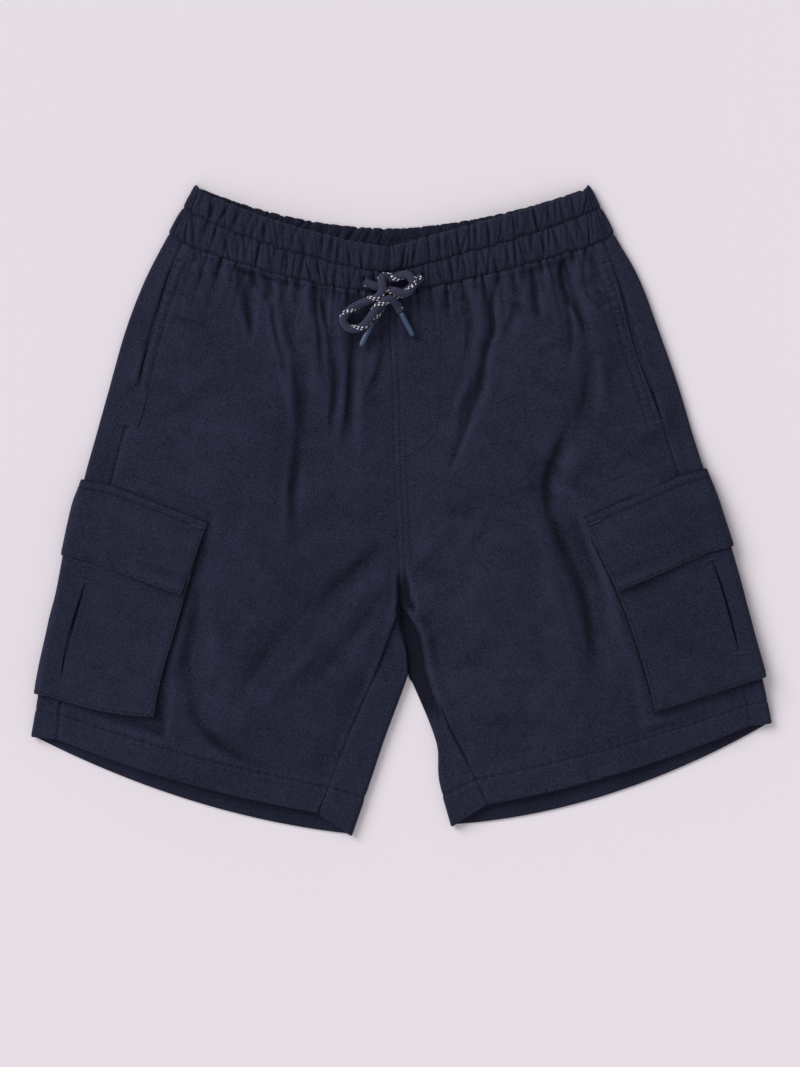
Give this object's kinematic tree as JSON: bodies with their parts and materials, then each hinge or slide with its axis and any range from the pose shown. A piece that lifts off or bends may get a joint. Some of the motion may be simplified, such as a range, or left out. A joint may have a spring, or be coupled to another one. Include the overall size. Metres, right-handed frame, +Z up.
{
  "type": "cargo shorts",
  "caption": "Child's cargo shorts laid flat, front up: gathered elastic waistband, tied drawcord, slanted side pockets and flapped cargo pockets wrapping the side seams.",
  "frame": {"origin": "centre of the garment's outline, on the surface that it lies on, drawcord left out", "axes": "+X towards the wearer's left, +Y towards the waist, +Z up from the surface, out of the front"},
  "size_m": [0.5512, 0.484, 0.0265],
  "materials": {
    "cloth": "navy cotton poplin, matt",
    "waistband_cloth": "the same cotton, gathered over elastic",
    "pocket_cloth": "the same cotton, pressed and topstitched",
    "cord": "braided navy cord with white flecks",
    "cord_tip": "dipped blue-navy end, semi-gloss"
  },
  "bodies": {
    "root": {"front_panel_right": "cloth", "front_panel_left": "cloth", "back_panel_right": "cloth", "back_panel_left": "cloth", "waistband_right": "waistband_cloth", "waistband_left": "waistband_cloth", "side_pocket_facing_right": "cloth", "side_pocket_facing_left": "cloth", "cargo_gusset_right": "pocket_cloth", "cargo_gusset_left": "pocket_cloth", "cargo_pocket_right": "pocket_cloth", "cargo_pocket_left": "pocket_cloth", "cargo_flap_right": "pocket_cloth", "cargo_flap_left": "pocket_cloth", "drawcord_right": "cord", "drawcord_left": "cord", "cord_tip_right": "cord_tip", "cord_tip_left": "cord_tip"}
  },
  "joints": []
}
